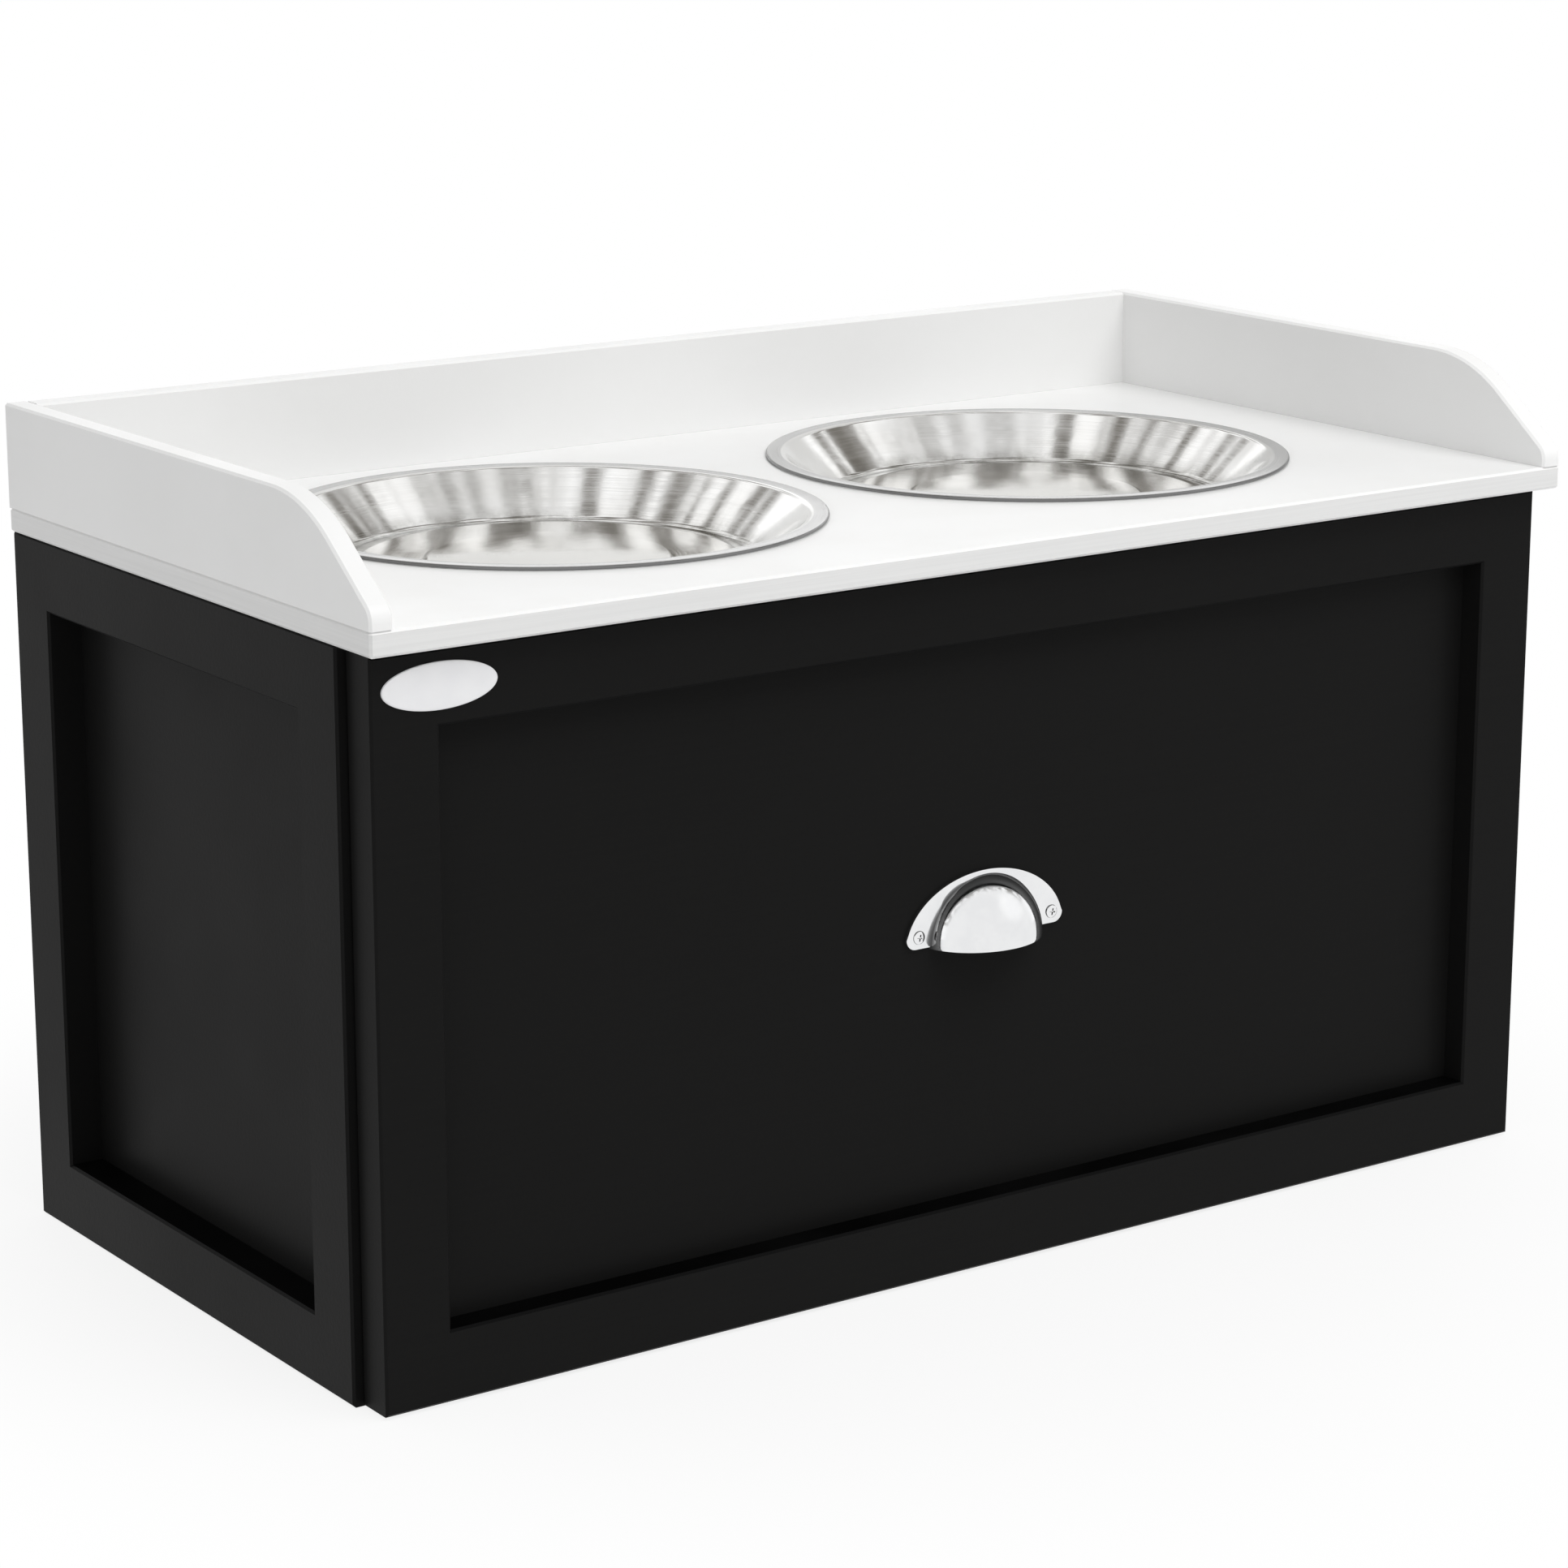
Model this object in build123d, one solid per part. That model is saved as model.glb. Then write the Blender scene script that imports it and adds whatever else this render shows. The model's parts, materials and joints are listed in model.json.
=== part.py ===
from build123d import *

from math import cos, pi, sin
import os

# Elevated dog feeder: two bowls hang in a guarded top, over a cabinet with one deep drawer.
# Millimetres, +Z up, origin on the floor under the middle of the overall box.
# The user looks along +Y, and the drawer pulls out along -Y.
# What stands on the right (+X) is modelled, and its left-hand twin is mirrored from it.

# Overall
width = 600.0
depth = 300.0
cabinet_height = 301.0
top_thickness = 10.0
edge_break = 1.0
tiny = 0.001

# Guards on the top: a level edge, a broad shoulder, a straight slope and a small nose
guard_height = 44.0
guard_thickness = 10.0
guard_slope_length = 49.0
guard_nose_height = 7.0
guard_shoulder_radius = 70.0
guard_nose_radius = 8.0

# Framed panels of the sides and the drawer front
panel_thickness = 5.0
side_reveal = 1.0
side_strip_thickness = 15.0
side_strip_width = 30.0
front_strip_thickness = 12.0
front_strip_width = 29.5

# Gaps round the drawer front
front_setback = 10.0
front_end_gap = 4.0
front_top_gap = 2.0
front_floor_gap = 1.0
front_rear_gap = 1.5

# Boards inside the cabinet
board_thickness = 12.0
bottom_lift = 3.0
stretcher_height = 36.0

# Bowls
bowl_spacing = 251.0
bowl_offset = 6.0
bowl_thickness = 0.8
bowl_rim_radius = 116.0
bowl_mouth_radius = 108.0
bowl_depth = 20.0
bowl_wall_foot_radius = 88.0
bowl_cove = 5.0
bowl_seat_gap = 0.3
bowl_hole_clearance = 1.5

# Drawer box
box_wall = 12.0
box_height = 215.0
box_rear_gap = 11.0
box_lift = 5.0
box_floor_thickness = 5.0
box_floor_inset = 12.0
groove_depth = 5.0
groove_clearance = 0.3

# Roller slides
slide_space = 12.7
slide_thickness = 1.2
slide_bend_radius = 1.0
slide_lift = 2.0
slide_setback = 2.0
track_width = 10.2
track_lip_height = 4.5
guide_width = 6.5
slide_play = 1.0
under_flange = 10.0
roller_radius = 7.5
roller_width = 5.5
roller_inset = 12.0
running_gap = 0.3
track_gap = 0.8
bore_clearance = 0.05
end_clearance = 0.1
pin_radius = 2.0
pin_head_radius = 3.0
pin_head_thickness = 0.7

# Cup pull
pull_half_width = 40.8
pull_arch_height = 28.8
pull_ear_round = 4.5
pull_flange = 1.8
pull_thickness = 1.5
cup_radius = 26.4
cup_depth = 19.7
cup_bands = 3
pull_base_z = 141.3
pull_screw_x = 34.5
pull_screw_rise = 5.2
pull_screw_length = 16.0
pull_screw_radius = 1.5
pull_screw_head_radius = 3.0
pull_screw_head_height = 1.6

# Fluted dowels and threads are drawn as plain pegs with few sides
peg_sides = 8
dowel_radius = 3.0
dowel_in_face = 7.0
dowel_in_edge = 13.0
dowel_end_gap = 0.5
dowel_inset = 45.0

# Places that follow from the sizes
front = -depth / 2
back = depth / 2
board_top = cabinet_height + top_thickness
side_outer = width / 2 - side_reveal
side_inner = side_outer - side_strip_thickness - panel_thickness
drawer_face = front + front_setback
panel_face = drawer_face + front_strip_thickness
front_rear = panel_face + panel_thickness
side_front = front_rear + front_rear_gap
front_half_width = side_outer - front_end_gap
front_height = cabinet_height - front_top_gap - front_floor_gap

bottom_top = bottom_lift + board_thickness
box_half_width = side_inner - slide_space
box_bottom = bottom_top + box_lift
box_top = box_bottom + box_height
box_rear = back - board_thickness - box_rear_gap
slide_length = box_rear - front_rear
box_floor_bottom = box_bottom + box_floor_inset
box_floor_top = box_floor_bottom + box_floor_thickness

slide_bottom = bottom_top + slide_lift
track_top = slide_bottom + slide_thickness
rear_roller_z = track_top + running_gap + roller_radius
front_roller_z = track_top + track_gap + roller_radius
runner_under = front_roller_z + roller_radius + running_gap
runner_top = runner_under + slide_thickness
guide_under = runner_top + slide_play
cabinet_web = side_inner - slide_thickness
drawer_web = box_half_width + slide_thickness
track_edge = side_inner - track_width
roller_x = (track_edge + slide_thickness + cabinet_web) / 2
slide_front = side_front + slide_setback
front_roller_y = slide_front + roller_inset
rear_roller_y = front_rear + slide_length - roller_inset

pull_screw_z = pull_base_z + pull_screw_rise


def board(x, y, z):
    """A square-cut board between two limits along each axis."""
    middle = Pos((x[0] + x[1]) / 2, (y[0] + y[1]) / 2, (z[0] + z[1]) / 2)
    return middle * Box(x[1] - x[0], y[1] - y[0], z[1] - z[0])


def left_of(part):
    return mirror(part, about=Plane.YZ)


def turned(points):
    """A solid of revolution about Z from a closed outline of (radius, height) points."""
    outline = make_face(Plane.XZ * Polyline(*points, close=True))
    return revolve(outline, Axis.Z)


def cut(part, tools):
    """The part with every tool's shape taken out of it."""
    for tool in tools:
        part = part - tool
    return part


# ---------- top, guards and bowls ----------

def bowl_centres():
    return [Pos(side * bowl_spacing / 2, bowl_offset, board_top) for side in (-1, 1)]


def top_board():
    slab = board((-width / 2, width / 2), (front, back), (cabinet_height, board_top))
    slab = chamfer(slab.edges(), edge_break)
    hole_radius = bowl_mouth_radius + bowl_thickness + bowl_hole_clearance
    holes = [centre * Cylinder(hole_radius, 3 * top_thickness) for centre in bowl_centres()]
    return cut(slab, holes)


def back_guard():
    half = width / 2 - guard_thickness
    guard = board((-half, half), (back - guard_thickness, back), (board_top, board_top + guard_height))
    upper_face = guard.faces().sort_by(Axis.Z)[-1]
    return chamfer(upper_face.edges().filter_by(Axis.X), edge_break)


def right_guard():
    """A side guard, cut from its outline seen along X."""
    level = board_top + guard_height
    outline = Polyline(
        (front, board_top),
        (front, board_top + guard_nose_height),
        (front + guard_slope_length, level),
        (back, level),
        (back, board_top),
        close=True,
    )
    blank = make_face(Plane.YZ * outline)
    corners = blank.vertices().sort_by(Axis.Y)
    nose = corners[:2].sort_by(Axis.Z)[-1]
    shoulder = corners[2]
    blank = fillet(nose, guard_nose_radius)
    blank = fillet(blank.vertices().sort_by_distance(shoulder)[0], guard_shoulder_radius)
    guard = Pos(width / 2 - guard_thickness, 0, 0) * extrude(blank, guard_thickness, dir=(1, 0, 0))
    outer_face = guard.faces().sort_by(Axis.X)[-1]
    inner_face = guard.faces().sort_by(Axis.X)[0]
    free_edges = [
        edge
        for edge in outer_face.edges() + inner_face.edges()
        if edge.center().Z > board_top + tiny and edge.center().Y < back - tiny
    ]
    return chamfer(free_edges, edge_break)


def bowl():
    """A bowl pressed from one sheet, its rim over Z=0, turned from the middle line of its wall."""
    rim_level = bowl_seat_gap + bowl_thickness / 2
    floor = rim_level - bowl_depth
    wall_slope = (bowl_mouth_radius - bowl_wall_foot_radius) / bowl_depth
    middle_line = Polyline(
        (bowl_rim_radius + bowl_thickness, rim_level),
        (bowl_mouth_radius, rim_level),
        (bowl_wall_foot_radius + bowl_cove * wall_slope, floor + bowl_cove),
        (bowl_wall_foot_radius - bowl_cove, floor),
        (0, floor),
    )
    wall = make_face(offset(middle_line, bowl_thickness / 2, kind=Kind.INTERSECTION, side=Side.BOTH))
    half_plane = Pos(bowl_rim_radius / 2, 0) * Rectangle(bowl_rim_radius, 4 * bowl_depth)
    return revolve(Plane.XZ * (wall & half_plane), Axis.Z)


# ---------- framed panels ----------

def mitred_frame(frame_width, frame_height, strip_width, thickness):
    """Four strips round a rectangle that stands on the X axis, face towards +Z.

    They come in order round the frame: foot, +X upright, head, -X upright.
    """
    half, inset = frame_width / 2, strip_width
    outer = [(-half, 0), (half, 0), (half, frame_height), (-half, frame_height)]
    inner = [
        (-half + inset, inset),
        (half - inset, inset),
        (half - inset, frame_height - inset),
        (-half + inset, frame_height - inset),
    ]
    strips = []
    for turn in range(4):
        after = (turn + 1) % 4
        outline = Polyline(outer[turn], outer[after], inner[after], inner[turn], close=True)
        strip = extrude(make_face(outline), thickness)
        along = Axis.X if turn % 2 == 0 else Axis.Y
        face = strip.faces().sort_by(Axis.Z)[-1]
        strips.append(chamfer(face.edges().filter_by(along), edge_break))
    return strips


def right_side():
    """The right side's panel and the four strips on its outer face."""
    length = back - side_front
    middle = (back + side_front) / 2
    panel = board(
        (side_inner, side_inner + panel_thickness), (side_front, back), (0, cabinet_height)
    )
    face = Plane((side_inner + panel_thickness, middle, 0), x_dir=(0, 1, 0), z_dir=(1, 0, 0))
    strips = mitred_frame(length, cabinet_height, side_strip_width, side_strip_thickness)
    foot, rear, head, fore = [face * strip for strip in strips]
    return {
        "panel": panel,
        "bottom_rail": foot,
        "rear_stile": rear,
        "top_rail": head,
        "front_stile": fore,
    }


def drawer_front():
    """The drawer front's panel and the four strips on its face."""
    panel = board(
        (-front_half_width, front_half_width),
        (panel_face, front_rear),
        (front_floor_gap, front_floor_gap + front_height),
    )
    face = Plane((0, panel_face, front_floor_gap), x_dir=(1, 0, 0), z_dir=(0, -1, 0))
    strips = mitred_frame(2 * front_half_width, front_height, front_strip_width, front_strip_thickness)
    foot, right, head, left = [face * strip for strip in strips]
    return {
        "drawer_panel": panel,
        "drawer_bottom_rail": foot,
        "drawer_right_stile": right,
        "drawer_top_rail": head,
        "drawer_left_stile": left,
    }


# ---------- boards ----------

def cabinet_boards():
    inside = (-side_inner, side_inner)
    return {
        "bottom_board": board(inside, (side_front, back - board_thickness), (bottom_lift, bottom_top)),
        "back_panel": board(inside, (back - board_thickness, back), (0, cabinet_height)),
        "front_stretcher": board(
            inside,
            (side_front, side_front + board_thickness),
            (cabinet_height - stretcher_height, cabinet_height),
        ),
    }


def drawer_box():
    """Four walls with a floor sheet let into a groove all round."""
    inner_half = box_half_width - box_wall
    walls = {
        "box_front": ((-inner_half, inner_half), (front_rear, front_rear + box_wall)),
        "box_back": ((-inner_half, inner_half), (box_rear - box_wall, box_rear)),
        "box_left": ((-box_half_width, -inner_half), (front_rear, box_rear)),
        "box_right": ((inner_half, box_half_width), (front_rear, box_rear)),
    }
    groove_half = inner_half + groove_depth
    groove_ends = (front_rear + box_wall - groove_depth, box_rear - box_wall + groove_depth)
    groove = board(
        (-groove_half, groove_half), groove_ends, (box_floor_bottom, box_floor_top + groove_clearance)
    )
    pieces = {name: board(x, y, (box_bottom, box_top)) - groove for name, (x, y) in walls.items()}
    for name, outermost in (("box_left", 0), ("box_right", -1)):
        outer_face = pieces[name].faces().sort_by(Axis.X)[outermost]
        lower_edge = outer_face.edges().filter_by(Axis.Y).sort_by(Axis.Z)[0]
        pieces[name] = fillet(lower_edge, slide_bend_radius)
    pieces["box_floor"] = board(
        (-groove_half + groove_clearance, groove_half - groove_clearance),
        (groove_ends[0] + groove_clearance, groove_ends[1] - groove_clearance),
        (box_floor_bottom, box_floor_top),
    )
    return pieces


# ---------- roller slides ----------

def bent_strip(points, rear):
    """A sheet-metal member folded along its middle line, seen along Y, running forward from rear."""
    middle_line = FilletPolyline(*points, radius=slide_bend_radius + slide_thickness / 2)
    section_plane = Plane((0, rear, 0), x_dir=(1, 0, 0), z_dir=(0, -1, 0))
    return extrude(section_plane * trace(middle_line, slide_thickness), slide_length)


def cabinet_member():
    """A C-shaped track: top guide, web on the cabinet side, track and upturned lip."""
    half = slide_thickness / 2
    web = side_inner - half
    track = slide_bottom + half
    points = [
        (side_inner - guide_width, guide_under + half),
        (web, guide_under + half),
        (web, track),
        (track_edge + half, track),
        (track_edge + half, slide_bottom + track_lip_height),
    ]
    return bent_strip(points, slide_front + slide_length)


def drawer_member():
    """A folded runner: a foot under the box side, a web beside it and a flange over the rollers."""
    half = slide_thickness / 2
    web = box_half_width + half
    points = [
        (box_half_width - under_flange, box_bottom - half),
        (web, box_bottom - half),
        (web, runner_under + half),
        (cabinet_web - track_gap, runner_under + half),
    ]
    return bent_strip(points, front_rear + slide_length)


def roller():
    """A nylon wheel about X, centred on its own middle."""
    wheel = Cylinder(roller_radius, roller_width) - Cylinder(pin_radius + bore_clearance, roller_width)
    return Rot(0, 90, 0) * wheel


def roller_pin(web_to_roller):
    """A riveted pin about X: flush with the web's far face at X=0, with a head past the roller."""
    head = slide_thickness + web_to_roller + roller_width + end_clearance
    pin = turned(
        [
            (0, 0),
            (pin_radius, 0),
            (pin_radius, head),
            (pin_head_radius, head),
            (pin_head_radius, head + pin_head_thickness),
            (0, head + pin_head_thickness),
        ]
    )
    return Rot(0, 90, 0) * pin


def front_pin():
    """The cabinet member's pin, which points inwards from its web."""
    gap = cabinet_web - (roller_x + roller_width / 2)
    return Pos(side_inner, front_roller_y, front_roller_z) * Rot(0, 0, 180) * roller_pin(gap)


def rear_pin():
    """The drawer member's pin, which points outwards from its web."""
    gap = roller_x - roller_width / 2 - drawer_web
    return Pos(box_half_width, rear_roller_y, rear_roller_z) * roller_pin(gap)


# ---------- cup pull ----------

def above_base(sketch):
    """The part of a flat outline that lies above the X axis."""
    return sketch & (Pos(0, pull_half_width) * Rectangle(4 * pull_half_width, 2 * pull_half_width))


def dome(radius, reach):
    """A quarter of a flattened ball round the origin, above Z=0 and in front of Y=0."""
    profile = [
        (radius * cos(step * pi / 2 / cup_bands), -reach * sin(step * pi / 2 / cup_bands))
        for step in range(cup_bands + 1)
    ]
    outline = make_face(Polyline((0, 0), *profile, close=True))
    half = revolve(outline, Axis.Y)
    return half & (Pos(0, 0, radius) * Box(4 * radius, 4 * reach, 2 * radius))


def cup_pull():
    """A crescent flange with two ears, and a half dome open downwards for the fingers."""
    plan = above_base(Ellipse(pull_half_width, pull_arch_height))
    ears = plan.vertices().sort_by(Axis.X)
    plan = fillet([ears[0], ears[-1]], pull_ear_round)
    plan -= Circle(cup_radius - pull_thickness)
    screw_hole = RegularPolygon(pull_screw_radius, peg_sides)
    plan -= Pos(pull_screw_x, pull_screw_rise) * screw_hole
    plan -= Pos(-pull_screw_x, pull_screw_rise) * screw_hole
    flange = extrude(Plane.XZ * plan, pull_flange)
    cup = dome(cup_radius, cup_depth) - dome(cup_radius - pull_thickness, cup_depth - pull_thickness)
    return Pos(0, panel_face, pull_base_z) * (flange + cup)


def peg(radius, below, above):
    """A many-sided peg along Z, from so far below Z=0 to so far above it."""
    return Pos(0, 0, -below) * extrude(RegularPolygon(radius, peg_sides), below + above)


def pull_screw():
    """A screw along Z: its head stands below Z=0 and its shank goes up through the ear."""
    head = Cylinder(pull_screw_head_radius, pull_screw_head_height)
    return Pos(0, 0, -pull_screw_head_height / 2) * head + peg(pull_screw_radius, 0, pull_screw_length)


def pull_screws():
    ear_face = panel_face - pull_flange
    places = [Pos(side * pull_screw_x, ear_face, pull_screw_z) for side in (1, -1)]
    return [place * Rot(-90, 0, 0) * pull_screw() for place in places]


# ---------- dowels ----------

def dowels(places):
    return [place * peg(dowel_radius, dowel_in_edge, dowel_in_face) for place in places]


def dowel_holes(places):
    """The holes for the dowels, a little deeper at both ends."""
    hole = peg(dowel_radius, dowel_in_edge + dowel_end_gap, dowel_in_face + dowel_end_gap)
    return [place * hole for place in places]


def upright(x, y, z, up=1):
    return Plane((x, y, z), x_dir=(1, 0, 0), z_dir=(0, 0, up))


def sideways(x, y, z):
    return Plane((x, y, z), x_dir=(0, 1, 0), z_dir=(1, 0, 0))


def near_ends(start, end):
    return (start + dowel_inset, end - dowel_inset)


# Each place lies in a joint, with +Z into the board that the dowel meets face on.

def right_guard_places():
    x = (width - guard_thickness) / 2
    return [upright(x, y, board_top, up=-1) for y in near_ends(front + guard_slope_length, back)]


def back_guard_places():
    y = back - guard_thickness / 2
    return [upright(x, y, board_top, up=-1) for x in near_ends(-width / 2, width / 2)]


def right_top_places():
    """From the top down into the right side's top rail."""
    x = side_outer - side_strip_thickness / 2
    return [upright(x, y, cabinet_height) for y in near_ends(side_front, back)]


def right_cabinet_places():
    """From the right side into the ends of the bottom board, the back panel and the stretcher."""
    half_board = board_thickness / 2
    floor = [
        sideways(side_inner, y, bottom_lift + half_board)
        for y in near_ends(side_front, back - board_thickness)
    ]
    rear = [sideways(side_inner, back - half_board, z) for z in near_ends(0, cabinet_height)]
    stretcher_middle = cabinet_height - stretcher_height / 2
    return floor + rear + [sideways(side_inner, side_front + half_board, stretcher_middle)]


def right_box_places():
    """From the right box side into the ends of the box's front and back."""
    half_wall = box_wall / 2
    return [
        sideways(box_half_width - box_wall, y, z)
        for y in (front_rear + half_wall, box_rear - half_wall)
        for z in near_ends(box_bottom, box_top)
    ]


# ---------- the whole feeder ----------

def both(shapes):
    """The right-hand shapes and their left-hand twins."""
    return shapes + [left_of(shape) for shape in shapes]


def add_pair(parts, name, right):
    parts[f"right_{name}"] = right
    parts[f"left_{name}"] = left_of(right)


def top_parts():
    guard_places, back_places, rail_places = right_guard_places(), back_guard_places(), right_top_places()
    guard_holes, back_holes, rail_holes = map(dowel_holes, (guard_places, back_places, rail_places))
    parts = {
        "top_board": cut(top_board(), back_holes + both(guard_holes + rail_holes)),
        "back_guard": cut(back_guard(), back_holes),
        "top_dowels": dowels(back_places) + both(dowels(guard_places + rail_places)),
    }
    add_pair(parts, "guard", cut(right_guard(), guard_holes))
    left, right = [centre * bowl() for centre in bowl_centres()]
    parts["left_bowl"] = left
    parts["right_bowl"] = right
    return parts


def cabinet_parts():
    places = right_cabinet_places()
    holes = dowel_holes(places)
    rail_holes = dowel_holes(right_top_places())
    pin = front_pin()
    parts = {name: cut(piece, both(holes)) for name, piece in cabinet_boards().items()}
    for name, piece in right_side().items():
        add_pair(parts, f"side_{name}", cut(piece, holes + rail_holes))
    add_pair(parts, "cabinet_slide", cut(cabinet_member(), [pin]))
    parts["front_roller_pins"] = both([pin])
    parts["cabinet_dowels"] = both(dowels(places))
    return parts


def drawer_parts():
    places, pull = right_box_places(), pull_screws()
    holes = dowel_holes(places)
    pin = rear_pin()
    parts = drawer_front()
    parts["drawer_panel"] = cut(parts["drawer_panel"], pull)
    tools = {
        "box_front": pull + both(holes),
        "box_back": both(holes),
        "box_right": holes,
        "box_left": [left_of(hole) for hole in holes],
    }
    for name, piece in drawer_box().items():
        parts[name] = cut(piece, tools.get(name, []))
    add_pair(parts, "drawer_slide", cut(drawer_member(), [pin]))
    parts["rear_roller_pins"] = both([pin])
    parts["drawer_dowels"] = both(dowels(places))
    parts["cup_pull"] = cup_pull()
    parts["pull_screws"] = pull
    return parts


def roller_parts():
    parts = {}
    add_pair(parts, "front_roller", Pos(roller_x, front_roller_y, front_roller_z) * roller())
    add_pair(parts, "rear_roller", Pos(roller_x, rear_roller_y, rear_roller_z) * roller())
    return parts


def main():
    os.makedirs("parts", exist_ok=True)
    for parts in (top_parts(), cabinet_parts(), drawer_parts(), roller_parts()):
        for name, shape in parts.items():
            solids = shape if isinstance(shape, list) else [shape]
            node = solids[0] if len(solids) == 1 else Compound(children=solids)
            export_step(node, f"parts/{name}.step")


main()
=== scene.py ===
# %% [markdown]
# # Elevated dog feeder with storage
#
# A white top with three low guards carries two steel bowls. Under it stands a black cabinet of
# thin panels inside raised, mitred frames, with one deep drawer and a chrome cup pull.
# The solids of the boards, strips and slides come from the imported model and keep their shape,
# so this lesson is about what they are finished with, and about the pressed and cast metal
# pieces that need rounder forms than the solids have. Lengths are in metres, and MM turns
# millimetres into them.

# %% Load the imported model
import json
from math import cos, pi, radians, sin, sqrt, tan

import bmesh
import bpy
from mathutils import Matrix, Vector


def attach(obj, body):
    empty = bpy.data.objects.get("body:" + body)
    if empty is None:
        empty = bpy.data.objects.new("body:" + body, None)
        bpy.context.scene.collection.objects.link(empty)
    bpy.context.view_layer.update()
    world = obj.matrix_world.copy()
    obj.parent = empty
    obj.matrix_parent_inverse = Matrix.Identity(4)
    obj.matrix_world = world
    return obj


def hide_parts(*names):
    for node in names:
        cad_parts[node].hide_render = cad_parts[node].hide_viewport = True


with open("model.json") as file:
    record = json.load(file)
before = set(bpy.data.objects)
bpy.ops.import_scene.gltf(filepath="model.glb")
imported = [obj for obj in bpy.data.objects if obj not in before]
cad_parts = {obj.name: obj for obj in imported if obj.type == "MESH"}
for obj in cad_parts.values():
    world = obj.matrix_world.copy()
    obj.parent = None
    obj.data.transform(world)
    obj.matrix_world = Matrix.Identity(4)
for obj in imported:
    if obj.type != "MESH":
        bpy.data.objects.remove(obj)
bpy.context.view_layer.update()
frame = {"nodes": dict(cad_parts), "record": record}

MM = 0.001

# %% [markdown]
# ## Working with nodes
#
# The light and every finish are made of shader nodes. A node is added, its settings are filled
# in, and each of its inputs is either linked to another node or given a plain value. A few
# helpers do that, so that the cells below read as sums and mixes and not as lists of links.

# %% Adding and feeding a node
def add_node(tree, kind, **settings):
    node = tree.nodes.new(kind)
    for name, value in settings.items():
        setattr(node, name, value)
    return node


def feed(tree, socket, source):
    """Links another node's output to a socket, or writes a plain value into it."""
    if isinstance(source, bpy.types.NodeSocket):
        tree.links.new(source, socket)
    else:
        socket.default_value = source


def feed_colour(tree, socket, colour):
    """A plain colour has three numbers, and the socket wants an alpha after them."""
    feed(tree, socket, (*colour, 1.0) if isinstance(colour, tuple) else colour)


# %% Sums, ranges and directions
def math_node(tree, operation, *terms):
    """One sum of values or sockets, and its result's socket."""
    node = add_node(tree, "ShaderNodeMath", operation=operation)
    for socket, term in zip(node.inputs, terms):
        feed(tree, socket, term)
    return node.outputs[0]


def mapped(tree, value, old, new=(0.0, 1.0)):
    """A value that goes smoothly from an old range to a new one, and stays inside it."""
    node = add_node(tree, "ShaderNodeMapRange", interpolation_type="SMOOTHSTEP")
    tree.links.new(value, node.inputs["Value"])
    for name, number in zip(("From Min", "From Max", "To Min", "To Max"), (*old, *new)):
        node.inputs[name].default_value = number
    return node.outputs["Result"]


def split(tree, vector):
    """The X, Y and Z of a vector, as sockets."""
    node = add_node(tree, "ShaderNodeSeparateXYZ")
    tree.links.new(vector, node.inputs[0])
    return node.outputs


def stretched(tree, vector, scale):
    """The vector with a scale for each of its axes."""
    node = add_node(tree, "ShaderNodeMapping")
    node.inputs["Scale"].default_value = scale
    tree.links.new(vector, node.inputs["Vector"])
    return node.outputs[0]


# %% Noise and mixes
def noise(tree, vector, scale, detail=2.0, roughness=0.5):
    node = add_node(tree, "ShaderNodeTexNoise")
    node.inputs["Detail"].default_value = detail
    node.inputs["Roughness"].default_value = roughness
    feed(tree, node.inputs["Scale"], scale)
    tree.links.new(vector, node.inputs["Vector"])
    return node.outputs["Fac"]


def blend_colours(tree, factor, first, second):
    node = add_node(tree, "ShaderNodeMix", data_type="RGBA")
    tree.links.new(factor, node.inputs[0])
    feed_colour(tree, node.inputs[6], first)
    feed_colour(tree, node.inputs[7], second)
    return node.outputs[2]


def mix_shaders(tree, factor, first, second):
    node = add_node(tree, "ShaderNodeMixShader")
    for socket, source in zip(node.inputs, (factor, first, second)):
        tree.links.new(source, socket)
    return node.outputs[0]


# %% [markdown]
# ## The studio
#
# White goods look best in a white room: the light comes from everywhere, and one large soft
# lamp above the front of the object makes the top brightest, the front a little darker and the
# ends darker still. Here the world gives the even light and an area lamp is the soft box. Many
# lamps could do the same, but each one would add its own shadow.
#
# The camera sees a plain white world. Metal sees a white room too, but its back is a little
# brighter and is broken by soft dark uprights, such as the stands and doors of a real room,
# because a steel bowl in a perfectly even room looks like grey paint. In front there is only
# one faint brighter patch, which puts a soft highlight on the chrome. The lamp itself is kept
# out of the mirrors, where it would show as a hard white square.

# %% What metal mirrors of the room
WHITE = (1.0, 1.0, 1.0)
UPRIGHT_COLOUR = (0.15, 0.14, 0.125)
UPRIGHT_STRETCH = (1.0, 1.0, 0.45)
PATCH_DIRECTION = (0.69, -0.50, 0.52)
PATCH_GLOW = 1.14
BACK_GLOW = 1.28


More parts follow.
